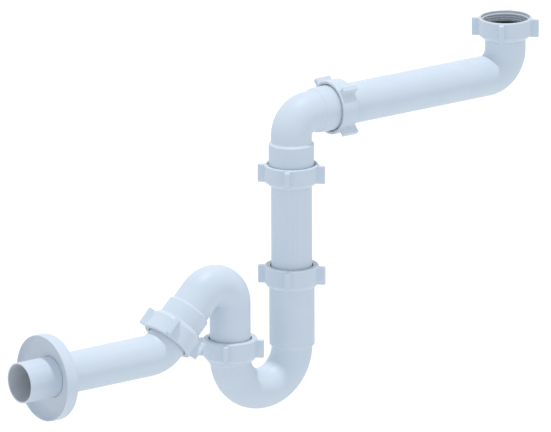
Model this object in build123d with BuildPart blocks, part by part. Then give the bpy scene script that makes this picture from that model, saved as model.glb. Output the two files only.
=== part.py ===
from build123d import *
import os

# Space-saving trap in white polypropylene: an arm from the waste runs back to a down pipe,
# a U bend holds the water seal, and a swan neck and an outlet pipe lead into the wall.
# Millimetres, +Z up. X runs from the wall towards the waste, and all centre lines lie in y = 0.
# The origin is the middle of the inlet nut's mouth.

# Tubes, sockets and fits
tube_radius = 20.0
tube_wall = 1.5
bend_wall = 1.8
socket_wall = 1.9
slide_clearance = 0.3
thread_clearance = 0.25
seal_clearance = 0.15
stop_ledge = 2.0

# Winged nuts
nut_wall = 4.15
nut_chamfer = 0.5
nut_height = 21.2
cone_height = 4.5
cone_edge = 0.8
entry_step = 1.3
entry_depth = 2.8
closed_height = 21.5
closed_hole_gap = 1.2
skirt_height = 4.0
skirt_edge = 1.0
lug_count = 4
lug_start = 45.0
lug_reach = 6.5
lug_width = 5.0
lug_length = 17.8
lug_drop = 1.2
lug_round = 0.9

# Inlet union, for a G 1 1/2 tail: the bore is at the root of its thread
thread_radius = 24.0
thread_relief = 0.4
union_depth = 15.4
lip_radius = 22.0
lip_thickness = 2.4
lip_gap = 0.2
washer_thickness = 3.0
washer_bore = 18.6

# Rubber wedge rings and the bevel that takes them in each socket's mouth
bevel_depth = 3.0
bevel_slope = 0.5
wedge_nose = 2.4
wedge_back = 1.4
mouth_to_rim = 5.0

# Arm and corner elbow, from the inlet axis and from the elbow's corner
arm_reach = 263.3
arm_drop = 55.8
arm_bend_radius = 24.0
elbow_bend_radius = 21.0
arm_socket_start = 33.7
arm_nut_rim = 44.8
arm_end_gap = 3.0
elbow_socket_start = 28.7
elbow_nut_rim = 49.0
down_pipe_top_gap = 2.0

# U bend, from its lowest centre point, and the down pipe that dips into it
u_drop = 270.0
u_radius = 37.65
long_socket_start = 39.0
long_nut_rim = 118.7
down_pipe_dip = 40.0
short_socket_start = 35.8
short_nut_rim = 57.8
riser_end_gap = 0.5

# Swan neck, measured down its slope from the end of its bend, and the outlet pipe
riser_height = 93.3
swan_bend_radius = 21.0
slope_angle = 45.0
slope_socket_start = 20.2
slope_nut_rim = 58.0
outlet_end_gap = 2.0
outlet_corner = 72.4
outlet_bend_radius = 30.0
outlet_run = 166.5

# Wall flange, a dish that slides on the outlet pipe
flange_radius = 42.5
flange_depth = 14.5
flange_wall = 2.4
flange_round = 4.5
flange_from_end = 27.0
mark_width = 1.0
mark_depth = 0.3

# Radii that follow from the fits
tube_bore = tube_radius - tube_wall
bend_bore = tube_radius - bend_wall
socket_bore = tube_radius + slide_clearance
socket_radius = socket_bore + socket_wall
bevel_radius = socket_bore + bevel_slope * bevel_depth
nut_bore = socket_radius + thread_clearance
nut_radius = nut_bore + nut_wall
lug_radius = nut_radius + lug_reach
tube_hole = tube_radius + 2 * slide_clearance
closed_hole = tube_radius + closed_hole_gap

# Centre points and directions
up = Vector(0, 0, 1)
down = Vector(0, 0, -1)
to_waste = Vector(1, 0, 0)
to_wall = Vector(-1, 0, 0)
across = (0, -1, 0)
slope = to_wall.rotate(Axis.Y, -slope_angle)
elbow_corner = Vector(-arm_reach, 0, -arm_drop)
u_bottom = elbow_corner + down * u_drop
riser_foot = u_bottom + to_wall * 2 * u_radius
swan_centre = riser_foot + up * riser_height + to_wall * swan_bend_radius
slope_start = swan_centre + slope.rotate(Axis.Y, 90) * swan_bend_radius
outlet_turn = slope_start + slope * outlet_corner
outlet_end = outlet_turn + to_wall * outlet_run

# Frames at the socket mouths, each with its z axis pointing out of the socket
mouth_to_open_rim = nut_height - mouth_to_rim
arm_mouth = Plane(elbow_corner + to_waste * (arm_nut_rim + mouth_to_open_rim), across, to_waste)
elbow_mouth = Plane(elbow_corner + down * (elbow_nut_rim + mouth_to_open_rim), across, down)
long_mouth = Plane(u_bottom + up * (long_nut_rim - mouth_to_rim), across, up)
short_mouth = Plane(riser_foot + up * (short_nut_rim - mouth_to_rim), across, up)
slope_mouth = Plane(slope_start + slope * (slope_nut_rim - mouth_to_rim), across, slope)

# Lengths of the sockets from mouth to shoulder
arm_socket_length = arm_nut_rim + mouth_to_open_rim - arm_socket_start
elbow_socket_length = elbow_nut_rim + mouth_to_open_rim - elbow_socket_start
long_socket_length = long_nut_rim - mouth_to_rim - long_socket_start
short_socket_length = short_nut_rim - mouth_to_rim - short_socket_start
slope_socket_length = slope_nut_rim - mouth_to_rim - slope_socket_start

os.makedirs("parts", exist_ok=True)


def turned(frame, outline):
    """Solid turned about a frame's z axis, from (radius, height) points."""
    half_section = Plane(frame.origin, frame.x_dir, -frame.y_dir)
    with BuildPart() as solid:
        with BuildSketch(half_section):
            with BuildLine():
                Polyline(outline, close=True)
            make_face()
        revolve(axis=Axis(frame.origin, frame.z_dir))
    return solid.part


def flat_end(path, end):
    """Plane square to a centre line at one end, to draw the tube's section on."""
    return Plane(path @ end, across, path % end)


def socket_outside(mouth, length):
    """Socket wall from its mouth down to a sloping shoulder that runs into the tube's wall."""
    step = socket_radius - bend_bore
    return turned(
        mouth,
        [
            (0, 0),
            (socket_radius, 0),
            (socket_radius, -length),
            (bend_bore, -length - step),
            (0, -length - step),
        ],
    )


def socket_inside(mouth, length):
    """Space in a socket: the wedge ring's bevel, then a bore down to the stop."""
    stop = length - stop_ledge
    return turned(
        mouth,
        [
            (0, 0),
            (bevel_radius, 0),
            (socket_bore, -bevel_depth),
            (socket_bore, -stop),
            (0, -stop),
        ],
    )


def winged_nut(rim, outside, inside):
    """Nut with grip lugs round it, on a frame whose z axis points out of its rim."""
    axis = Axis(rim.origin, rim.z_dir)
    with BuildPart() as nut:
        with BuildSketch(rim.offset(-lug_drop)) as grip:
            with PolarLocations(lug_radius / 2, lug_count, start_angle=lug_start):
                Rectangle(lug_radius, lug_width)
            fillet(grip.vertices(), lug_round)
        extrude(amount=-lug_length)
        ends = nut.faces().filter_by(axis).sort_by(axis)
        chamfer(ends[0].edges() + ends[-1].edges(), lug_round)
        add(turned(rim, outside))
        add(turned(rim, inside), mode=Mode.SUBTRACT)
    return nut


def open_rim_nut(rim, bore):
    """Nut with its open threaded end at the rim, closing on the tube in a cone."""
    outside = [
        (0, 0),
        (nut_radius - nut_chamfer, 0),
        (nut_radius, -nut_chamfer),
        (nut_radius, cone_height - nut_height),
        (tube_hole + cone_edge, -nut_height),
        (0, -nut_height),
    ]
    inside = [(0, 0), *bore, (tube_hole, -nut_height), (0, -nut_height)]
    return winged_nut(rim, outside, inside)


def elbow_side_nut(mouth):
    """Compression nut whose open rim goes up over the socket and whose cone closes on the tube."""
    rim = Plane(mouth.origin - mouth.z_dir * mouth_to_open_rim, across, -mouth.z_dir)
    seat_start = mouth_to_open_rim + wedge_back
    seat_end = seat_start + nut_bore - tube_hole
    bore = [
        (nut_bore + entry_step, 0),
        (nut_bore + entry_step, -entry_depth),
        (nut_bore, -entry_depth),
        (nut_bore, -seat_start),
        (tube_hole, -seat_end),
    ]
    return open_rim_nut(rim, bore)


def closed_rim_nut(mouth):
    """Compression nut whose rim closes round the tube and whose skirt goes down over the socket."""
    seat_start = mouth_to_rim - wedge_back
    seat_end = seat_start - (nut_bore - closed_hole)
    outside = [
        (0, 0),
        (nut_radius - nut_chamfer, 0),
        (nut_radius, -nut_chamfer),
        (nut_radius, skirt_height - closed_height),
        (nut_bore + skirt_edge, -closed_height),
        (0, -closed_height),
    ]
    inside = [
        (0, 0),
        (closed_hole, 0),
        (closed_hole, -seat_end),
        (nut_bore, -seat_start),
        (nut_bore, -closed_height),
        (0, -closed_height),
    ]
    return winged_nut(mouth.offset(mouth_to_rim), outside, inside)


def wedge_ring(mouth):
    """Rubber wedge that the nut presses into the socket's mouth, round the tube."""
    bore = tube_radius + seal_clearance
    nose = socket_bore + bevel_slope * (bevel_depth - wedge_nose) - seal_clearance
    nose_end = (bevel_radius - nose) / bevel_slope - wedge_nose
    back = wedge_back + nut_bore - bevel_radius - slide_clearance
    tip = bore + seal_clearance
    return turned(
        mouth,
        [
            (bore, -wedge_nose),
            (nose, -wedge_nose),
            (bevel_radius, nose_end),
            (bevel_radius, back),
            (tip, back + bevel_radius - tip),
            (bore, back + bevel_radius - tip),
        ],
    )


# Inlet nut: union nut that draws the arm's lip up against the waste
lip_top = union_depth - lip_gap - lip_thickness
thread_length = lip_top - washer_thickness
union_bore = [
    (thread_radius, 0),
    (thread_radius, -thread_length),
    (thread_radius + thread_relief, -thread_length - thread_relief),
    (thread_radius + thread_relief, -union_depth),
    (tube_hole, -union_depth),
]
inlet_nut = open_rim_nut(Plane((0, 0, 0), across, up), union_bore)
inlet_nut.part.label = "inlet_nut"
export_step(inlet_nut.part, "parts/inlet_nut.step")

# Inlet arm: lipped stub, tight quarter bend and long straight tube, moulded in one
arm_end = elbow_corner + to_waste * (arm_socket_start + stop_ledge + arm_end_gap)
with BuildPart() as inlet_arm:
    with BuildLine() as arm_line:
        FilletPolyline(down * lip_top, down * arm_drop, arm_end, radius=arm_bend_radius)
    with BuildSketch(flat_end(arm_line.line, 0)):
        Circle(tube_radius)
    sweep(path=arm_line.line)
    with BuildSketch(flat_end(arm_line.line, 0)):
        Circle(lip_radius)
    extrude(amount=lip_thickness)
    with BuildSketch(flat_end(arm_line.line, 0)):
        Circle(tube_bore)
    sweep(path=arm_line.line, mode=Mode.SUBTRACT)
inlet_arm.part.label = "inlet_arm"
export_step(inlet_arm.part, "parts/inlet_arm.step")

# Inlet washer: flat rubber ring that lies on the lip, under the waste's tail
with BuildPart() as inlet_washer:
    with BuildSketch(Plane.XY.offset(-lip_top)):
        Circle(lip_radius)
        Circle(washer_bore, mode=Mode.SUBTRACT)
    extrude(amount=washer_thickness)
inlet_washer.part.label = "inlet_washer"
export_step(inlet_washer.part, "parts/inlet_washer.step")

# Corner elbow: quarter bend that swells into the arm's socket and steps out to the lower one
elbow_frame = Plane(elbow_corner, across, to_waste)
swell = [
    (0, elbow_bend_radius),
    (tube_radius, elbow_bend_radius),
    (socket_radius, arm_socket_start),
    (0, arm_socket_start),
]
with BuildPart() as corner_elbow:
    with BuildLine() as elbow_line:
        FilletPolyline(arm_mouth.origin, elbow_corner, elbow_mouth.origin, radius=elbow_bend_radius)
    with BuildSketch(flat_end(elbow_line.line, 0)):
        Circle(tube_radius)
    sweep(path=elbow_line.line)
    add(turned(elbow_frame, swell))
    with BuildSketch(elbow_frame.offset(arm_socket_start)):
        Circle(socket_radius)
    extrude(amount=arm_socket_length)
    add(socket_outside(elbow_mouth, elbow_socket_length))
    with BuildSketch(flat_end(elbow_line.line, 0)):
        Circle(bend_bore)
    sweep(path=elbow_line.line, mode=Mode.SUBTRACT)
    add(socket_inside(arm_mouth, arm_socket_length), mode=Mode.SUBTRACT)
    add(socket_inside(elbow_mouth, elbow_socket_length), mode=Mode.SUBTRACT)
corner_elbow.part.label = "corner_elbow"
export_step(corner_elbow.part, "parts/corner_elbow.step")

# Down pipe: plain tube from the elbow's lower socket into the long socket of the U bend
down_pipe_top = elbow_corner + down * (elbow_socket_start + stop_ledge + down_pipe_top_gap)
down_pipe_end = long_mouth.origin + down * down_pipe_dip
with BuildPart() as down_pipe:
    with BuildSketch(Plane(down_pipe_top, across, down)):
        Circle(tube_radius)
        Circle(tube_bore, mode=Mode.SUBTRACT)
    extrude(amount=(down_pipe_end - down_pipe_top).length)
down_pipe.part.label = "down_pipe"
export_step(down_pipe.part, "parts/down_pipe.step")

# U bend: half turn between a long socket that the down pipe slides in and a short one
with BuildPart() as trap_bend:
    with BuildLine() as u_line:
        right_top = u_bottom + up * u_radius
        left_top = riser_foot + up * u_radius
        Line(long_mouth.origin, right_top)
        ThreePointArc(right_top, u_bottom + to_wall * u_radius, left_top)
        Line(left_top, short_mouth.origin)
    with BuildSketch(flat_end(u_line.line, 0)):
        Circle(tube_radius)
    sweep(path=u_line.line)
    add(socket_outside(long_mouth, long_socket_length))
    add(socket_outside(short_mouth, short_socket_length))
    with BuildSketch(flat_end(u_line.line, 0)):
        Circle(bend_bore)
    sweep(path=u_line.line, mode=Mode.SUBTRACT)
    add(socket_inside(long_mouth, long_socket_length), mode=Mode.SUBTRACT)
    add(socket_inside(short_mouth, short_socket_length), mode=Mode.SUBTRACT)
trap_bend.part.label = "trap_bend"
export_step(trap_bend.part, "parts/trap_bend.step")

# Swan neck: riser, bend over the top and a socket on the slope
riser_end = short_mouth.origin + down * (short_socket_length - stop_ledge - riser_end_gap)
with BuildPart() as swan_neck:
    with BuildLine() as swan_line:
        Line(riser_end, riser_foot + up * riser_height)
        TangentArc(riser_foot + up * riser_height, slope_start, tangent=up)
        Line(slope_start, slope_mouth.origin)
    with BuildSketch(flat_end(swan_line.line, 0)):
        Circle(tube_radius)
    sweep(path=swan_line.line)
    add(socket_outside(slope_mouth, slope_socket_length))
    with BuildSketch(flat_end(swan_line.line, 0)):
        Circle(bend_bore)
    sweep(path=swan_line.line, mode=Mode.SUBTRACT)
    add(socket_inside(slope_mouth, slope_socket_length), mode=Mode.SUBTRACT)
swan_neck.part.label = "swan_neck"
export_step(swan_neck.part, "parts/swan_neck.step")

# Outlet pipe: slanting end in the swan neck's socket, one bend, then level into the wall,
# with a shallow ring under the flange that marks how far it goes in
flange_frame = Plane(outlet_end + to_waste * flange_from_end, across, to_waste)
dish = flange_depth - flange_wall
outlet_start = slope_start + slope * (slope_socket_start + stop_ledge + outlet_end_gap)
with BuildPart() as outlet_pipe:
    with BuildLine() as outlet_line:
        FilletPolyline(outlet_start, outlet_turn, outlet_end, radius=outlet_bend_radius)
    with BuildSketch(flat_end(outlet_line.line, 0)):
        Circle(tube_radius)
        Circle(tube_bore, mode=Mode.SUBTRACT)
    sweep(path=outlet_line.line)
    with BuildSketch(flange_frame.offset(dish)):
        Circle(tube_radius)
        Circle(tube_radius - mark_depth, mode=Mode.SUBTRACT)
    extrude(amount=mark_width, mode=Mode.SUBTRACT)
outlet_pipe.part.label = "outlet_pipe"
export_step(outlet_pipe.part, "parts/outlet_pipe.step")

# Wall flange: dish with its open side to the wall and a rounded edge to the room
with BuildPart() as wall_flange:
    with BuildSketch(flange_frame):
        Circle(flange_radius)
    extrude(amount=flange_depth)
    room_edge = wall_flange.edges().sort_by(Axis.X)[-1]
    fillet(room_edge, flange_round)
    with BuildSketch(flange_frame):
        Circle(flange_radius - flange_wall)
    extrude(amount=dish, mode=Mode.SUBTRACT)
    dish_edge = wall_flange.faces().filter_by(Axis.X).sort_by(Axis.X)[-2].edges()
    fillet(dish_edge, flange_round - flange_wall)
    with BuildSketch(flange_frame):
        Circle(socket_bore)
    extrude(amount=flange_depth, mode=Mode.SUBTRACT)
wall_flange.part.label = "wall_flange"
export_step(wall_flange.part, "parts/wall_flange.step")

# Compression nuts and their wedge rings, one of each at every socket
joints = {
    "arm": (elbow_side_nut, arm_mouth),
    "elbow": (elbow_side_nut, elbow_mouth),
    "trap_inlet": (closed_rim_nut, long_mouth),
    "trap_outlet": (closed_rim_nut, short_mouth),
    "outlet": (closed_rim_nut, slope_mouth),
}
for place, (make_nut, mouth) in joints.items():
    nut = make_nut(mouth)
    nut.part.label = f"{place}_nut"
    export_step(nut.part, f"parts/{place}_nut.step")
    seal = wedge_ring(mouth)
    seal.label = f"{place}_seal"
    export_step(seal, f"parts/{place}_seal.step")
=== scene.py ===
import math

import bmesh
import bpy
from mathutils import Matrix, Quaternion, Vector


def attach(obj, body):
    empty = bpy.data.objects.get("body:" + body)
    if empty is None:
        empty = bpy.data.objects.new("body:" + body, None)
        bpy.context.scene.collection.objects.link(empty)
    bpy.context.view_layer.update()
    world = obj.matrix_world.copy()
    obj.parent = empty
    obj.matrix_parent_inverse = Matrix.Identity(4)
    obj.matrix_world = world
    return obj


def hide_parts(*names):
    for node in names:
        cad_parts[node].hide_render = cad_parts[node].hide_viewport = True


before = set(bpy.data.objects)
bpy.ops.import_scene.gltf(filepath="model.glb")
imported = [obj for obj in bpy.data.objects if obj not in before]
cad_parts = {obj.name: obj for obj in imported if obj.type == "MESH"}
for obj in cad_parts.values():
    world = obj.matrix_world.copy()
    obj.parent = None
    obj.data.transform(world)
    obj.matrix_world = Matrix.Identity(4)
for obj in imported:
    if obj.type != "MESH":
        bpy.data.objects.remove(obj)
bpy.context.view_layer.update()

# Inlet arm: one injection moulding in white polypropylene, with a lip that hangs in the inlet
# nut, a tight quarter bend and a long level tube. Its two mould halves meet in the plane y = 0
# and leave a hair-fine seam along the top and the bottom. All sizes are in millimetres.
MM = 0.001
TUBE = 20.0
TUBE_BORE = 18.5
EDGE = 0.4
SEAM_HEIGHT = 0.1
SEAM_HALF_ANGLE = 0.02
LIP = 22.0
LIP_TOP = -12.8
LIP_BOTTOM = -15.2
ARM_Z = -55.8
ARM_BEND = 24.0
ELBOW_X = -263.3
ARM_END_FROM_ELBOW = 38.7
ARM_END_X = ELBOW_X + ARM_END_FROM_ELBOW
ACROSS = Vector((0, 1, 0))


def centre_line(corners, bends):
    """Straight runs with round bends between them, in the plane y = 0, from (x, z) corners."""
    points = [Vector((x, 0, z)) for x, z in corners]
    legs, here, travelled = [], points[0], 0.0
    for before, corner, after, bend in zip(points, points[1:], points[2:], bends):
        along = (corner - before).normalized()
        leaving = (after - corner).normalized()
        turn = along.angle(leaving)
        setback = bend * math.tan(turn / 2)
        run = (corner - along * setback - here).length
        legs.append((travelled, here, along, None, 0.0))
        inward = (leaving - along * along.dot(leaving)).normalized()
        legs.append((travelled + run, corner - along * setback, along, inward, bend))
        travelled += run + bend * turn
        here = corner + leaving * setback
    legs.append((travelled, here, (points[-1] - here).normalized(), None, 0.0))
    return legs, travelled + (points[-1] - here).length


def station(line, distance):
    """Point on a centre line and the direction it runs there."""
    legs, _ = line
    leg = next((leg for leg in reversed(legs) if distance >= leg[0]), legs[0])
    start, point, along, inward, bend = leg
    gone = distance - start
    if inward is None:
        return point + along * gone, along
    turn = gone / bend
    place = point + along * bend * math.sin(turn) + inward * bend * (1 - math.cos(turn))
    return place, along * math.cos(turn) + inward * math.sin(turn)


ROUND_STEPS = 4
STRAIGHT = 0.999


def rounded(outside, inside):
    """Outer and inner wall from (distance, radius, edge round) corners, each one rounded off."""
    walls = [], []
    outline = list(outside) + list(inside)
    for i, (s, r, edge) in enumerate(outline):
        soft = walls[i >= len(outside)]
        here = Vector((s, r))
        to_last = (Vector(outline[i - 1][:2]) - here).normalized()
        to_next = (Vector(outline[(i + 1) % len(outline)][:2]) - here).normalized()
        if edge == 0 or abs(to_last.dot(to_next)) > STRAIGHT:
            soft.append((s, r))
            continue
        half = to_last.angle(to_next) / 2
        first = to_last * edge / math.tan(half)
        centre = here + (to_last + to_next).normalized() * edge / math.sin(half)
        last = to_next * edge / math.tan(half)
        spoke_a, spoke_b = here + first - centre, here + last - centre
        sweep = spoke_a.angle(spoke_b)
        for k in range(ROUND_STEPS + 1):
            share = k / ROUND_STEPS
            spoke = spoke_a * math.sin((1 - share) * sweep) + spoke_b * math.sin(share * sweep)
            soft.append(tuple(centre + spoke / math.sin(sweep)))
    return walls


def wall_faces(rows, columns):
    """Faces of a grid that closes on itself both ways."""
    return [
        (
            j * columns + i,
            (j + 1) % rows * columns + i,
            (j + 1) % rows * columns + (i + 1) % columns,
            j * columns + (i + 1) % columns,
        )
        for j in range(rows)
        for i in range(columns)
    ]


BEND_STEP = 2.0
TUBE_SIDES = 96


def tube_mesh(line, outside, inside, seam=0.0, sides=TUBE_SIDES):
    """Tube along a centre line, from the outlines of its outer and its inner wall."""
    legs, _ = line
    bends = [(leg[0], after[0]) for leg, after in zip(legs, legs[1:]) if leg[3] is not None]
    skin, bore = rounded(outside, inside)
    outline = skin + bore
    wall = sum(r for _, r in outline) / len(outline)
    rings = []
    for i, (s, r) in enumerate(outline):
        if i == len(skin):
            bore_row = len(rings)
        s2, r2 = outline[(i + 1) % len(outline)]
        low, high = min(s, s2), max(s, s2)
        curved = any(low < end and high > start for start, end in bends)
        count = max(math.ceil((high - low) / BEND_STEP), 1) if curved else 1
        for k in range(count):
            share = k / count
            rings.append((s + (s2 - s) * share, r + (r2 - r) * share))
    angles = [2 * math.pi * i / sides for i in range(sides)]
    lifts = [0.0] * sides
    if seam:
        for crest in (math.pi, 0.0):
            i = angles.index(crest)
            angles[i:i + 1] = [crest - SEAM_HALF_ANGLE, crest, crest + SEAM_HALF_ANGLE]
            lifts[i:i + 1] = [0.0, seam, 0.0]
    points = []
    for s, r in rings:
        place, along = station(line, s)
        sideways = along.cross(ACROSS)
        for angle, lift in zip(angles, lifts):
            reach = r + (lift if r > wall else 0.0)
            beside = place + sideways * reach * math.cos(angle)
            points.append(beside + ACROSS * reach * math.sin(angle))
    return points, wall_faces(len(rings), len(angles)), bore_row * len(angles)


WELD = 0.0005
CREASE = math.radians(38)


def piece(name, mesh, finishes, node, body):
    """Object from a mesh in millimetres that stands for one CAD node and rides on its body."""
    points, faces, first_bore_face = mesh
    made = bpy.data.meshes.new(name)
    made.from_pydata([p * MM for p in points], [], faces)
    for finish in finishes:
        made.materials.append(finish)
    if len(finishes) > 1:
        in_bore = [int(i >= first_bore_face) for i in range(len(faces))]
        made.polygons.foreach_set("material_index", in_bore)
    shell = bmesh.new()
    shell.from_mesh(made)
    bmesh.ops.remove_doubles(shell, verts=shell.verts, dist=WELD * MM)
    shell.to_mesh(made)
    shell.free()
    made.shade_smooth()
    made.set_sharp_from_angle(angle=CREASE)
    item = bpy.data.objects.new(name, made)
    bpy.context.scene.collection.objects.link(item)
    even = item.modifiers.new("even_shading", "WEIGHTED_NORMAL")
    even.keep_sharp = True
    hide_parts(node)
    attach(item, body)


def linear(code):
    """Linear colour from an sRGB hex value."""
    parts = [int(code[i:i + 2], 16) / 255 for i in (1, 3, 5)]
    return [c / 12.92 if c <= 0.04045 else ((c + 0.055) / 1.055) ** 2.4 for c in parts] + [1.0]


def add(tree, kind, inputs, **settings):
    """Adds a shader node; an input is a value, or another node's output to link from."""
    made = tree.nodes.new(kind)
    for name, value in settings.items():
        setattr(made, name, value)
    for name, value in inputs.items():
        if isinstance(value, bpy.types.NodeSocket):
            tree.links.new(value, made.inputs[name])
        else:
            made.inputs[name].default_value = value
    return made


# Polypropylene, injection moulded in steel: a cool white right through, with faint clouds where
# the melt flowed and a fine orange peel. The pipes' mould is ground, which gives a satin skin,
# and the nuts' mould is polished, which leaves small bright lights along their edges. The bores
# come off turned cores and the flange's hollow off a spark-eroded face, which leaves them matt;
# their colour is painted a shade greyer, as painted shade for the shade that falls inside them.
POLYPROPYLENE_IOR = 1.49
FLOW_MM = 22.0
FLOW_LOW = 0.3
FLOW_HIGH = 0.7
PEEL_MM = 1.6
PEEL_DEPTH = 0.03
PEEL_STRENGTH = 0.15
moulded = {}
for finish, smooth, rough, cool, pale in (
    ("ground_mould", 0.44, 0.52, "#E0EAF3", "#E5EDF5"),
    ("polished_mould", 0.22, 0.28, "#E0EAF3", "#E5EDF5"),
    # The last two finishes are greyer than the first two: painted shade for the bores and the hollow.
    ("matt_bore_painted_shade", 0.56, 0.64, "#D8DCE1", "#DCE0E4"),
    ("matt_hollow_painted_shade", 0.54, 0.62, "#DEE4EA", "#E2E7EC"),
):
    moulded[finish] = bpy.data.materials.new("polypropylene_from_" + finish)
    moulded[finish].use_nodes = True
    tree = moulded[finish].node_tree
    shader = tree.nodes["Principled BSDF"]
    spot = add(tree, "ShaderNodeTexCoord", {}).outputs["Object"]
    flow = add(tree, "ShaderNodeTexNoise",
               {"Vector": spot, "Scale": 1 / (FLOW_MM * MM), "Detail": 3.0}).outputs["Fac"]
    peel = add(tree, "ShaderNodeTexNoise",
               {"Vector": spot, "Scale": 1 / (PEEL_MM * MM), "Detail": 2.0}).outputs["Fac"]
    tint = add(tree, "ShaderNodeValToRGB", {"Fac": flow})
    for stop, at, colour in zip(tint.color_ramp.elements, (FLOW_LOW, FLOW_HIGH), (cool, pale)):
        stop.position, stop.color = at, linear(colour)
    gloss = add(tree, "ShaderNodeMapRange", {"Value": flow, "From Min": FLOW_LOW, "From Max": FLOW_HIGH,
                                             "To Min": smooth, "To Max": rough})
    bump = add(tree, "ShaderNodeBump",
               {"Height": peel, "Strength": PEEL_STRENGTH, "Distance": PEEL_DEPTH * MM})
    tree.links.new(tint.outputs["Color"], shader.inputs["Base Color"])
    tree.links.new(gloss.outputs["Result"], shader.inputs["Roughness"])
    tree.links.new(bump.outputs["Normal"], shader.inputs["Normal"])
    shader.inputs["IOR"].default_value = POLYPROPYLENE_IOR
# The second finish of each pair goes on the bore, whose greyer colour is painted shade.
pipe_finish = moulded["ground_mould"], moulded["matt_bore_painted_shade"]
nut_finish = moulded["polished_mould"], moulded["matt_bore_painted_shade"]

arm_line = centre_line([(0, LIP_TOP), (0, ARM_Z), (ARM_END_X, ARM_Z)], [ARM_BEND])
lip = LIP_TOP - LIP_BOTTOM
arm_outside = [
    (0, LIP, EDGE),
    (lip, LIP, EDGE),
    (lip, TUBE, EDGE),
    (arm_line[1], TUBE, EDGE),
]
arm_inside = [(arm_line[1], TUBE_BORE, EDGE), (0, TUBE_BORE, EDGE)]
piece("inlet_arm_moulding", tube_mesh(arm_line, arm_outside, arm_inside, SEAM_HEIGHT),
      pipe_finish, "inlet_arm", "arm")

# Inlet washer: a flat ring cut from pressed sheet of black EPDM rubber. It lies on the arm's lip,
# and the nut squeezes it against the end of the waste.
WASHER = 22.0
WASHER_BORE = 18.6
WASHER_TOP = -9.8

# EPDM rubber, pressed in a hot mould: near black and matt, with a fine grit that greys it.
GRIT_MM = 0.8
GRIT_DEPTH = 0.05
GRIT_STRENGTH = 0.3
RUBBER_ROUGHNESS = 0.62
rubber = bpy.data.materials.new("pressed_EPDM_rubber")
rubber.use_nodes = True
tree = rubber.node_tree
shader = tree.nodes["Principled BSDF"]
spot = add(tree, "ShaderNodeTexCoord", {}).outputs["Object"]
grit = add(tree, "ShaderNodeTexNoise",
           {"Vector": spot, "Scale": 1 / (GRIT_MM * MM), "Detail": 2.0}).outputs["Fac"]
dust = add(tree, "ShaderNodeValToRGB", {"Fac": grit})
for stop, colour in zip(dust.color_ramp.elements, ("#17181A", "#26282B")):
    stop.color = linear(colour)
bump = add(tree, "ShaderNodeBump",
           {"Height": grit, "Strength": GRIT_STRENGTH, "Distance": GRIT_DEPTH * MM})
tree.links.new(dust.outputs["Color"], shader.inputs["Base Color"])
tree.links.new(bump.outputs["Normal"], shader.inputs["Normal"])
shader.inputs["Roughness"].default_value = RUBBER_ROUGHNESS

washer_line = centre_line([(0, WASHER_TOP), (0, LIP_TOP)], [])
washer_outside = [(0, WASHER, EDGE), (washer_line[1], WASHER, EDGE)]
washer_inside = [(washer_line[1], WASHER_BORE, EDGE), (0, WASHER_BORE, EDGE)]
piece("inlet_washer_ring", tube_mesh(washer_line, washer_outside, washer_inside), [rubber],
      "inlet_washer", "arm")

# Inlet nut: a winged union nut in polypropylene, moulded on an unscrewing core. A plain step
# leads into the thread, and four lugs round it give the hand a grip.
NUT = 26.6
NUT_HEIGHT = 21.2
NUT_HOLE = 20.6
CONE_HEIGHT = 4.5
CONE_EDGE = 0.8
CONE_ROUND = 2.0
RIM_ROUND = 1.2
FINE_EDGE = 0.2
SOFT_EDGE = 0.3
LUGS = 4
LUG_REACH = 33.1
LUG_HALF_WIDTH = 2.5
LUG_TOP = 1.2
LUG_BOTTOM = 19.0
LUG_ROUND = 0.7
LUG_ROUND_LOSS = 0.8
LUG_ROOT = 1.0
LUG_STEPS = 4
GAP_STEPS = 24
ENTRY = 24.0
ENTRY_DEPTH = 2.8
THREAD_CREST = 22.5
THREAD_ROOT = 23.7
THREAD_PITCH = 2.309
THREAD_FADE = THREAD_PITCH / 2
THREAD_STEPS = 10
THREAD_END = 9.8
UNION_DEPTH = 15.4
UNION_RELIEF = 24.4
SAME_WALL = 1e-6
UP = Vector((0, 0, 1))


def lug_outline(wall, inset):
    """One lug's (radius, angle) outline on a wall's radius, drawn in by an inset all round."""
    half, tip = LUG_HALF_WIDTH - inset, LUG_REACH - inset
    corner = LUG_ROUND - inset * LUG_ROUND_LOSS
    side = LUG_ROOT + half
    root = math.sqrt((wall + LUG_ROOT) ** 2 - side ** 2)
    foot = math.atan2(side, root)
    points = []
    for k in range(LUG_STEPS + 1):
        turn = math.pi + foot + (math.pi / 2 - foot) * k / LUG_STEPS
        points.append((root + LUG_ROOT * math.cos(turn), side + LUG_ROOT * math.sin(turn)))
    for k in range(LUG_STEPS + 1):
        turn = math.pi / 2 * (1 - k / LUG_STEPS)
        points.append((tip - corner + corner * math.cos(turn), half - corner + corner * math.sin(turn)))
    points += [(u, -v) for u, v in reversed(points)]
    return [(math.hypot(u, v), math.atan2(v, u)) for u, v in points]


LUG_FOOT = lug_outline(NUT, 0.0)[0][1]


def nut_ring(wall, inset):
    """Ring of (radius, angle) points round a nut: a circle, or with an inset one with its lugs."""
    ring = []
    for lug in reversed(range(LUGS)):
        middle = math.pi / 4 + lug * math.pi / 2
        outline = lug_outline(wall, inset or 0.0)
        spread = [LUG_FOOT * (1 - 2 * k / (len(outline) - 1)) for k in range(len(outline))]
        for (reach, angle), plain in zip(outline, spread):
            ring.append((wall, middle + plain) if inset is None else (reach, middle + angle))
        gap = math.pi / 2 - 2 * LUG_FOOT
        ring += [(wall, middle - LUG_FOOT - gap * k / GAP_STEPS) for k in range(1, GAP_STEPS)]
    return ring


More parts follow.
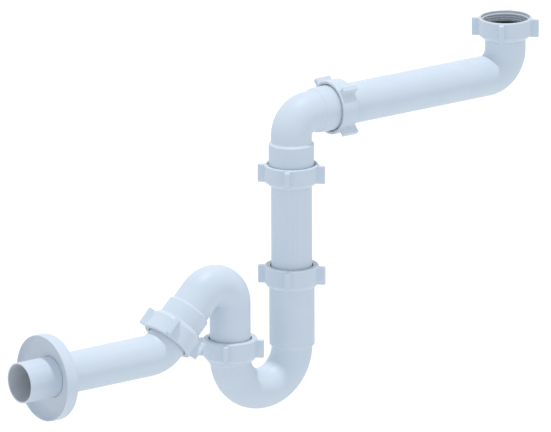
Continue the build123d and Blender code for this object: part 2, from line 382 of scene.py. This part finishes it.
def lug_rows(wall_line):
    """Rows (depth, wall radius, inset) of a nut's outside, with lugs standing out of it."""
    def wall(depth):
        for (d1, r1), (d2, r2) in zip(wall_line, wall_line[1:]):
            if d1 <= depth <= d2:
                return r1 + (r2 - r1) * (depth - d1) / (d2 - d1)

    turns = [math.pi / 2 * k / LUG_STEPS for k in range(LUG_STEPS + 1)]
    ends = [(LUG_ROUND * (1 - math.sin(t)), LUG_ROUND * (1 - math.cos(t))) for t in turns]
    top = [(LUG_TOP, None)] + [(LUG_TOP + fall, inset) for inset, fall in ends]
    middle = [(d, 0.0) for d, _ in wall_line if LUG_TOP + LUG_ROUND < d < LUG_BOTTOM - LUG_ROUND]
    bottom = [(LUG_BOTTOM - fall, inset) for inset, fall in reversed(ends)] + [(LUG_BOTTOM, None)]
    above = [(d, r, None) for d, r in wall_line if d < LUG_TOP]
    below = [(d, r, None) for d, r in wall_line if d > LUG_BOTTOM]
    return above + [(d, wall(d), inset) for d, inset in top + middle + bottom] + below


def on_crest(radius):
    """Whether a radius is that of the thread's crests."""
    return abs(radius - THREAD_CREST) < SAME_WALL


def nut_mesh(rim, out, outside, inside, threaded=False):
    """Winged nut on an axis out of its rim, from outlines of (depth, radius, edge round)."""
    skin, bore = rounded(outside, inside)
    rows = lug_rows(skin)
    bore_row = len(rows)
    for (depth, radius), (shallower, next_radius) in zip(bore, bore[1:] + skin[:1]):
        rows.append((depth, radius, None))
        if threaded and on_crest(radius) and on_crest(next_radius):
            count = math.ceil((depth - shallower) / THREAD_PITCH * THREAD_STEPS)
            steps = [depth + (shallower - depth) * k / count for k in range(1, count)]
            rows += [(step, THREAD_CREST, None) for step in steps]
    side = Vector((0, -1, 0))
    other = out.cross(side)
    points = []
    for depth, radius, inset in rows:
        fade = min(1.0, (depth - ENTRY_DEPTH) / THREAD_FADE, (THREAD_END - depth) / THREAD_FADE)
        cut = threaded and on_crest(radius) and fade > 0
        for reach, angle in nut_ring(radius, inset):
            if cut:
                phase = 2 * math.pi * depth / THREAD_PITCH + angle
                reach += fade * (THREAD_ROOT - THREAD_CREST) * (0.5 - 0.5 * math.cos(phase))
            outward = side * math.cos(angle) + other * math.sin(angle)
            points.append(rim - out * depth + outward * reach)
    around = len(points) // len(rows)
    return points, [face[::-1] for face in wall_faces(len(rows), around)], bore_row * around


open_nut_outside = [
    (0, NUT, RIM_ROUND),
    (NUT_HEIGHT - CONE_HEIGHT, NUT, CONE_ROUND),
    (NUT_HEIGHT, NUT_HOLE + CONE_EDGE, SOFT_EDGE),
]
union_bore = [
    (NUT_HEIGHT, NUT_HOLE, FINE_EDGE),
    (UNION_DEPTH, NUT_HOLE, FINE_EDGE),
    (UNION_DEPTH, UNION_RELIEF, FINE_EDGE),
    (THREAD_END, UNION_RELIEF, FINE_EDGE),
    (THREAD_END, THREAD_CREST, FINE_EDGE),
    (ENTRY_DEPTH, THREAD_CREST, SOFT_EDGE),
    (ENTRY_DEPTH, ENTRY, FINE_EDGE),
    (0, ENTRY, SOFT_EDGE),
]
inlet_rim = Vector((0, 0, 0))
piece("inlet_nut_winged", nut_mesh(inlet_rim, UP, open_nut_outside, union_bore, threaded=True),
      nut_finish, "inlet_nut", "inlet_nut")

# Corner elbow: one moulding that turns the level arm down. Its level end swells gently into a
# socket, with a fine step half way, and its lower end steps out to another behind a shoulder.
BEND_BORE = 18.2
SOCKET = 22.2
SOCKET_BORE = 20.3
MOUTH = 21.8
MOUTH_BEVEL = 3.0
STOP = 2.0
SHOULDER = SOCKET - TUBE
SHOULDER_ROUND = 0.35
NUT_TO_MOUTH = 16.2
ELBOW_BEND = 21.0
ARM_RIM_FROM_ELBOW = 44.8
ARM_MOUTH_X = ELBOW_X + ARM_RIM_FROM_ELBOW + NUT_TO_MOUTH
ARM_SOCKET_END = 27.3
SWELL = 12.7
SWELL_ROUND = 8.0
STEP_AT = 33.5
STEP_FROM = 21.6
STEP_TO = 20.9
ELBOW_SHOULDER = 28.7
LOWER_RIM_FROM_ARM = 49.0
ELBOW_MOUTH = LOWER_RIM_FROM_ARM + NUT_TO_MOUTH


def socket_bore(mouth, into):
    """Inner wall from a socket's mouth to its stop, 'into' being the signed depth of the stop."""
    bevel = math.copysign(MOUTH_BEVEL, into)
    return [
        (mouth, MOUTH, FINE_EDGE),
        (mouth + bevel, SOCKET_BORE, FINE_EDGE),
        (mouth + into, SOCKET_BORE, FINE_EDGE),
        (mouth + into, BEND_BORE, SOFT_EDGE),
    ]


elbow_line = centre_line(
    [(ARM_MOUTH_X, ARM_Z), (ELBOW_X, ARM_Z), (ELBOW_X, ARM_Z - ELBOW_MOUTH)], [ELBOW_BEND]
)
elbow_end = elbow_line[1]
elbow_socket = ELBOW_MOUTH - ELBOW_SHOULDER
elbow_outside = [
    (0, SOCKET, EDGE),
    (ARM_SOCKET_END, SOCKET, SWELL_ROUND),
    (STEP_AT + STEP_TO - STEP_FROM, STEP_FROM, FINE_EDGE),
    (STEP_AT, STEP_TO, FINE_EDGE),
    (ARM_SOCKET_END + SWELL, TUBE, SWELL_ROUND),
    (elbow_end - elbow_socket - SHOULDER, TUBE, SHOULDER_ROUND),
    (elbow_end - elbow_socket, SOCKET, SHOULDER_ROUND),
    (elbow_end, SOCKET, EDGE),
]
elbow_inside = [
    *socket_bore(elbow_end, STOP - elbow_socket),
    *reversed(socket_bore(0, ARM_SOCKET_END - STOP)),
]
piece("corner_elbow_moulding", tube_mesh(elbow_line, elbow_outside, elbow_inside, SEAM_HEIGHT),
      pipe_finish, "corner_elbow", "elbow")

# Down pipe: plain polypropylene tube, extruded and cut square. Its top stands in the elbow, and
# its foot slides in the U bend's long socket to set the height.
DOWN_PIPE_FROM_ARM = 32.7
DOWN_PIPE_TOP = ARM_Z - DOWN_PIPE_FROM_ARM
U_BOTTOM_FROM_ARM = 270.0
U_BOTTOM = ARM_Z - U_BOTTOM_FROM_ARM
LONG_LEG = 113.7
LONG_MOUTH = U_BOTTOM + LONG_LEG
DOWN_PIPE_IN_SOCKET = 40.0
DOWN_PIPE_END = LONG_MOUTH - DOWN_PIPE_IN_SOCKET

# Polypropylene, extruded: the same white, with faint lines that the die drew along the tube.
# They are drawn 2 mm apart, wider than real ones, so that they show at all. The bore is as matt
# as off a core, and its colour is a shade greyer, which is painted shade.
DIE_LINE_MM = 2.0
DIE_LINE_DEPTH = 0.02
DIE_LINE_STRENGTH = 0.2
DIE_LINE_LOW = 0.3
DIE_LINE_HIGH = 0.7
DRAWN_OUT = 0.01
EXTRUDED_ROUGHNESS = 0.48
extruded = {}
for run, along in (("upright", (1.0, 1.0, DRAWN_OUT)), ("level", (DRAWN_OUT, 1.0, 1.0))):
    extruded[run] = bpy.data.materials.new("extruded_polypropylene_" + run)
    extruded[run].use_nodes = True
    tree = extruded[run].node_tree
    shader = tree.nodes["Principled BSDF"]
    spot = add(tree, "ShaderNodeTexCoord", {}).outputs["Object"]
    drawn = add(tree, "ShaderNodeVectorMath", {0: spot, 1: along}, operation="MULTIPLY")
    lines = add(tree, "ShaderNodeTexNoise", {"Vector": drawn.outputs["Vector"], "Detail": 2.0,
                                             "Scale": 1 / (DIE_LINE_MM * MM)}).outputs["Fac"]
    tint = add(tree, "ShaderNodeValToRGB", {"Fac": lines})
    low, high = tint.color_ramp.elements
    low.position, low.color = DIE_LINE_LOW, linear("#E1EAF3")
    high.position, high.color = DIE_LINE_HIGH, linear("#E4EDF5")
    bump = add(tree, "ShaderNodeBump",
               {"Height": lines, "Strength": DIE_LINE_STRENGTH, "Distance": DIE_LINE_DEPTH * MM})
    tree.links.new(tint.outputs["Color"], shader.inputs["Base Color"])
    tree.links.new(bump.outputs["Normal"], shader.inputs["Normal"])
    shader.inputs["Roughness"].default_value = EXTRUDED_ROUGHNESS
    shader.inputs["IOR"].default_value = POLYPROPYLENE_IOR

down_line = centre_line([(ELBOW_X, DOWN_PIPE_TOP), (ELBOW_X, DOWN_PIPE_END)], [])
down_outside = [(0, TUBE, EDGE), (down_line[1], TUBE, EDGE)]
down_inside = [(down_line[1], TUBE_BORE, EDGE), (0, TUBE_BORE, EDGE)]
# The bore's greyer finish is painted shade.
down_finish = extruded["upright"], moulded["matt_bore_painted_shade"]
piece("down_pipe_tube", tube_mesh(down_line, down_outside, down_inside), down_finish,
      "down_pipe", "down_pipe")

# U bend: one moulding that holds the water seal, between the long socket that the down pipe
# slides in and the short socket that the swan neck stands in.
U_BEND = 37.65
RISER_X = ELBOW_X - 2 * U_BEND
SHORT_LEG = 52.8
SHORT_MOUTH = U_BOTTOM + SHORT_LEG
LONG_SOCKET = 74.7
SHORT_SOCKET = 17.0
u_line = centre_line(
    [(ELBOW_X, LONG_MOUTH), (ELBOW_X, U_BOTTOM), (RISER_X, U_BOTTOM), (RISER_X, SHORT_MOUTH)],
    [U_BEND, U_BEND],
)
u_end = u_line[1]
u_outside = [
    (0, SOCKET, EDGE),
    (LONG_SOCKET, SOCKET, SHOULDER_ROUND),
    (LONG_SOCKET + SHOULDER, TUBE, SHOULDER_ROUND),
    (u_end - SHORT_SOCKET - SHOULDER, TUBE, SHOULDER_ROUND),
    (u_end - SHORT_SOCKET, SOCKET, SHOULDER_ROUND),
    (u_end, SOCKET, EDGE),
]
u_inside = [
    *socket_bore(u_end, STOP - SHORT_SOCKET),
    *reversed(socket_bore(0, LONG_SOCKET - STOP)),
]
piece("trap_bend_moulding", tube_mesh(u_line, u_outside, u_inside, SEAM_HEIGHT),
      pipe_finish, "trap_bend", "trap")

# Swan neck: one moulding that rises out of the U, turns over the top and slopes down to a
# socket. Its plain foot stands on the stop in the U bend's short socket.
RISER_FOOT = 38.3
RISER_END = U_BOTTOM + RISER_FOOT
RISER_HEAD = 93.3
RISER_TOP = U_BOTTOM + RISER_HEAD
SWAN_BEND = 21.0
SWAN_HALF_TURN = math.radians(67.5)
SLOPE = Vector((-1, 0, -1)).normalized()
SLOPE_SOCKET_START = 20.2
SLOPE_MOUTH = 53.0
swan_corner = Vector((RISER_X, 0, RISER_TOP + SWAN_BEND * math.tan(SWAN_HALF_TURN)))
slope_start = swan_corner + SLOPE * SWAN_BEND * math.tan(SWAN_HALF_TURN)
slope_mouth = slope_start + SLOPE * SLOPE_MOUTH
swan_line = centre_line(
    [(RISER_X, RISER_END), (swan_corner.x, swan_corner.z), (slope_mouth.x, slope_mouth.z)],
    [SWAN_BEND],
)
swan_end = swan_line[1]
slope_socket = SLOPE_MOUTH - SLOPE_SOCKET_START
swan_outside = [
    (0, TUBE, EDGE),
    (swan_end - slope_socket - SHOULDER, TUBE, SHOULDER_ROUND),
    (swan_end - slope_socket, SOCKET, SHOULDER_ROUND),
    (swan_end, SOCKET, EDGE),
]
swan_inside = [*socket_bore(swan_end, STOP - slope_socket), (0, BEND_BORE, EDGE)]
piece("swan_neck_moulding", tube_mesh(swan_line, swan_outside, swan_inside, SEAM_HEIGHT),
      pipe_finish, "swan_neck", "swan")

# Outlet pipe: extruded tube with one bend, from the slanting socket to level, whose plain end
# goes into the wall. A shallow ring under the flange marks how far.
OUTLET_START = 24.2
OUTLET_CORNER = 72.4
OUTLET_BEND = 30.0
OUTLET_RUN = 166.5
FLANGE_FROM_END = 27.0
FLANGE_DEPTH = 14.5
FLANGE_FLOOR = 4.6
MARK_WIDTH = 1.0
MARK_DEPTH = 0.3
outlet_start = slope_start + SLOPE * OUTLET_START
outlet_turn = slope_start + SLOPE * OUTLET_CORNER
outlet_end_x = outlet_turn.x - OUTLET_RUN
outlet_line = centre_line(
    [(outlet_start.x, outlet_start.z), (outlet_turn.x, outlet_turn.z), (outlet_end_x, outlet_turn.z)],
    [OUTLET_BEND],
)
outlet_end = outlet_line[1]
mark = outlet_end - FLANGE_FROM_END - FLANGE_DEPTH + FLANGE_FLOOR
outlet_outside = [
    (0, TUBE, EDGE),
    (mark - MARK_WIDTH, TUBE, 0),
    (mark - MARK_WIDTH, TUBE - MARK_DEPTH, 0),
    (mark, TUBE - MARK_DEPTH, 0),
    (mark, TUBE, 0),
    (outlet_end, TUBE, EDGE),
]
outlet_inside = [(outlet_end, TUBE_BORE, EDGE), (0, TUBE_BORE, EDGE)]
# The bore's greyer finish is painted shade.
outlet_finish = extruded["level"], moulded["matt_bore_painted_shade"]
piece("outlet_pipe_tube", tube_mesh(outlet_line, outlet_outside, outlet_inside), outlet_finish,
      "outlet_pipe", "outlet")

# Wall flange: a thin moulded dish that slides along the outlet pipe and hides the hole in the
# wall. Its hollow side faces the wall, and its room side has a well rounded edge.
FLANGE = 42.5
FLANGE_ROUND = 4.5
FLANGE_WALL = 2.4
FLANGE_LIP = 0.9
FLANGE_SIDES = 144
LIP_ROUND = 0.5
HOLLOW_ROUND = 7.0
flange_x = outlet_end_x + FLANGE_FROM_END
flange_line = centre_line([(flange_x, outlet_turn.z), (flange_x + FLANGE_DEPTH, outlet_turn.z)], [])
flange_outside = [(0, FLANGE, LIP_ROUND), (FLANGE_DEPTH, FLANGE, FLANGE_ROUND)]
flange_inside = [
    (FLANGE_DEPTH, SOCKET_BORE, EDGE),
    (FLANGE_DEPTH - FLANGE_FLOOR, SOCKET_BORE, EDGE),
    (FLANGE_DEPTH - FLANGE_FLOOR, FLANGE - FLANGE_WALL, HOLLOW_ROUND),
    (0, FLANGE - FLANGE_LIP, FINE_EDGE),
]
# The hollow's greyer finish is painted shade.
dish_finish = moulded["ground_mould"], moulded["matt_hollow_painted_shade"]
piece("wall_flange_dish", tube_mesh(flange_line, flange_outside, flange_inside, sides=FLANGE_SIDES),
      dish_finish, "wall_flange", "flange")

# Compression nuts: the same winged nut at every socket, moulded in polypropylene. On the elbow
# its open end goes over the socket, and elsewhere a flat rim closes round the tube and a skirt
# hugs the socket.
NUT_BORE = 22.45
WEDGE_BACK = 1.4
MOUTH_TO_RIM = 5.0
ENTRY_STEP = 1.3
CLOSED_HEIGHT = 21.5
CLOSED_HOLE = 21.2
SKIRT_HEIGHT = 4.0
SKIRT_EDGE = 1.0
LEVEL = Vector((1, 0, 0))
seat = NUT_TO_MOUTH + WEDGE_BACK
open_nut_bore = [
    (NUT_HEIGHT, NUT_HOLE, FINE_EDGE),
    (seat + NUT_BORE - NUT_HOLE, NUT_HOLE, FINE_EDGE),
    (seat, NUT_BORE, FINE_EDGE),
    (ENTRY_DEPTH, NUT_BORE, FINE_EDGE),
    (ENTRY_DEPTH, NUT_BORE + ENTRY_STEP, FINE_EDGE),
    (0, NUT_BORE + ENTRY_STEP, SOFT_EDGE),
]
closed_seat = MOUTH_TO_RIM - WEDGE_BACK
closed_nut_outside = [
    (0, NUT, RIM_ROUND),
    (CLOSED_HEIGHT - SKIRT_HEIGHT, NUT, CONE_ROUND),
    (CLOSED_HEIGHT, NUT_BORE + SKIRT_EDGE, SOFT_EDGE),
]
closed_nut_bore = [
    (CLOSED_HEIGHT, NUT_BORE, SOFT_EDGE),
    (closed_seat, NUT_BORE, FINE_EDGE),
    (closed_seat - NUT_BORE + CLOSED_HOLE, CLOSED_HOLE, FINE_EDGE),
    (0, CLOSED_HOLE, EDGE),
]
arm_mouth = Vector((ARM_MOUTH_X, 0, ARM_Z))
elbow_mouth = Vector((ELBOW_X, 0, ARM_Z - ELBOW_MOUTH))
long_mouth = Vector((ELBOW_X, 0, LONG_MOUTH))
short_mouth = Vector((RISER_X, 0, SHORT_MOUTH))
for name, mouth, out in (("arm_nut", arm_mouth, LEVEL), ("elbow_nut", elbow_mouth, -UP)):
    made = nut_mesh(mouth - out * NUT_TO_MOUTH, -out, open_nut_outside, open_nut_bore)
    piece(name + "_winged", made, nut_finish, name, name)
for name, mouth, out in (
    ("trap_inlet_nut", long_mouth, UP),
    ("trap_outlet_nut", short_mouth, UP),
    ("outlet_nut", slope_mouth, SLOPE),
):
    made = nut_mesh(mouth + out * MOUTH_TO_RIM, out, closed_nut_outside, closed_nut_bore)
    piece(name + "_winged", made, nut_finish, name, name)

# Wedge rings: pressed EPDM rings with a tapered nose, one in each compression nut. The nut
# presses the nose into the bevel in the socket's mouth and so against the tube.
RING_BORE = 20.15
RING_NOSE = 20.45
RING_TIP = 20.3
RING_IN = 2.4
RING_OUT = 3.25
RING_TAPER_END = 2.7
RING_BACK = 4.15
RING_LENGTH = RING_IN + RING_OUT
RING_EDGE = 0.1
for name, mouth, out, body in (
    ("arm_seal", arm_mouth, LEVEL, "arm_seal"),
    ("elbow_seal", elbow_mouth, -UP, "down_pipe"),
    ("trap_inlet_seal", long_mouth, UP, "trap_inlet_seal"),
    ("trap_outlet_seal", short_mouth, UP, "swan"),
    ("outlet_seal", slope_mouth, SLOPE, "outlet"),
):
    nose, back = mouth - out * RING_IN, mouth + out * RING_OUT
    ring_line = centre_line([(nose.x, nose.z), (back.x, back.z)], [])
    ring_outside = [
        (0, RING_NOSE, RING_EDGE),
        (RING_TAPER_END, MOUTH, SOFT_EDGE),
        (RING_BACK, MOUTH, SOFT_EDGE),
        (RING_LENGTH, RING_TIP, 0),
    ]
    ring_inside = [(RING_LENGTH, RING_BORE, 0), (0, RING_BORE, RING_EDGE)]
    piece(name + "_ring", tube_mesh(ring_line, ring_outside, ring_inside), [rubber],
          name, body)

# Floor: white studio paper well under the hanging trap, so that its shadow falls below the
# picture. To the camera it is white, and it still takes the shadow.
FLOOR_Z = -0.435
FLOOR_HALF = 6.0
FLOOR_GLOW = 0.14
FLOOR_GLOW_SEEN = 0.3
corners = (-1, -1), (1, -1), (1, 1), (-1, 1)
floor_mesh = bpy.data.meshes.new("floor")
floor_mesh.from_pydata(
    [(x * FLOOR_HALF, y * FLOOR_HALF, FLOOR_Z) for x, y in corners], [], [(0, 1, 2, 3)]
)
floor = bpy.data.objects.new("floor", floor_mesh)
bpy.context.scene.collection.objects.link(floor)
paper = bpy.data.materials.new("white_studio_paper")
paper.use_nodes = True
tree = paper.node_tree
tree.nodes.remove(tree.nodes["Principled BSDF"])
ray = add(tree, "ShaderNodeLightPath", {}).outputs
matt = add(tree, "ShaderNodeBsdfDiffuse", {"Color": linear("#DADADA")})
level = add(tree, "ShaderNodeMath",
            {0: ray["Is Camera Ray"], 1: FLOOR_GLOW_SEEN, 2: FLOOR_GLOW}, operation="MULTIPLY_ADD")
glow = add(tree, "ShaderNodeEmission", {"Color": linear("#FFFFFF"), "Strength": level.outputs[0]})
lift = add(tree, "ShaderNodeAddShader", {0: matt.outputs["BSDF"], 1: glow.outputs["Emission"]})
tree.links.new(lift.outputs["Shader"], tree.nodes["Material Output"].inputs["Surface"])
floor_mesh.materials.append(paper)

# Light: even, slightly cool light from all round, and one soft lamp straight overhead that casts
# the shadows under the nuts. The white behind the trap is for the camera and for reflections only.
FILL_LEVEL = 0.69
LAMP_LEVEL = 0.38
LAMP_SPREAD = math.radians(3.0)
LAMP_PLACE = (-0.3, 0.0, 2.0)
world = bpy.data.worlds.new("studio")
bpy.context.scene.world = world
world.use_nodes = True
tree = world.node_tree
ray = add(tree, "ShaderNodeLightPath", {}).outputs
seen = add(tree, "ShaderNodeMath",
           {0: ray["Is Camera Ray"], 1: ray["Is Glossy Ray"]}, operation="ADD")
clear = add(tree, "ShaderNodeMath",
            {0: seen.outputs[0], 1: ray["Is Transmission Ray"]}, operation="ADD", use_clamp=True)
fill = tree.nodes["Background"]
fill.inputs["Color"].default_value = linear("#E9F3FF")
fill.inputs["Strength"].default_value = FILL_LEVEL
white = add(tree, "ShaderNodeBackground", {"Color": linear("#FFFFFF"), "Strength": 1.0})
both = add(tree, "ShaderNodeMixShader",
           {"Fac": clear.outputs[0], 1: fill.outputs[0], 2: white.outputs[0]})
tree.links.new(both.outputs["Shader"], tree.nodes["World Output"].inputs["Surface"])
lamp_light = bpy.data.lights.new("overhead_lamp", "SUN")
lamp_light.energy = LAMP_LEVEL * math.pi
lamp_light.angle = LAMP_SPREAD
lamp = bpy.data.objects.new("overhead_lamp", lamp_light)
lamp.location = LAMP_PLACE
bpy.context.scene.collection.objects.link(lamp)

# Camera: from the wall side, a little above, with so long a lens that parallel tubes stay
# parallel. It stands as far back as the picture's width asks for.
AIM = Vector((-0.2829, 0.0, -0.1545))
BACK = Vector((-0.5749, -0.7709, 0.274)).normalized()
ROLL = math.radians(-0.22)
PICTURE_PIXELS = 551
PIXELS_PER_MM = 1.025
PICTURE_WIDTH = PICTURE_PIXELS / PIXELS_PER_MM * MM
LENS = 1000.0
SENSOR = 36.0
FARTHEST = 100.0
camera_data = bpy.data.cameras.new("camera")
camera_data.lens = LENS
camera_data.sensor_width = SENSOR
camera_data.clip_end = FARTHEST
camera = bpy.data.objects.new("camera", camera_data)
camera.location = AIM + BACK * PICTURE_WIDTH * LENS / SENSOR
camera.rotation_mode = "QUATERNION"
camera.rotation_quaternion = (-BACK).to_track_quat("-Z", "Y") @ Quaternion((0, 0, 1), ROLL)
bpy.context.scene.collection.objects.link(camera)
bpy.context.scene.camera = camera
bpy.context.scene.view_settings.view_transform = "Standard"

bpy.context.view_layer.update()
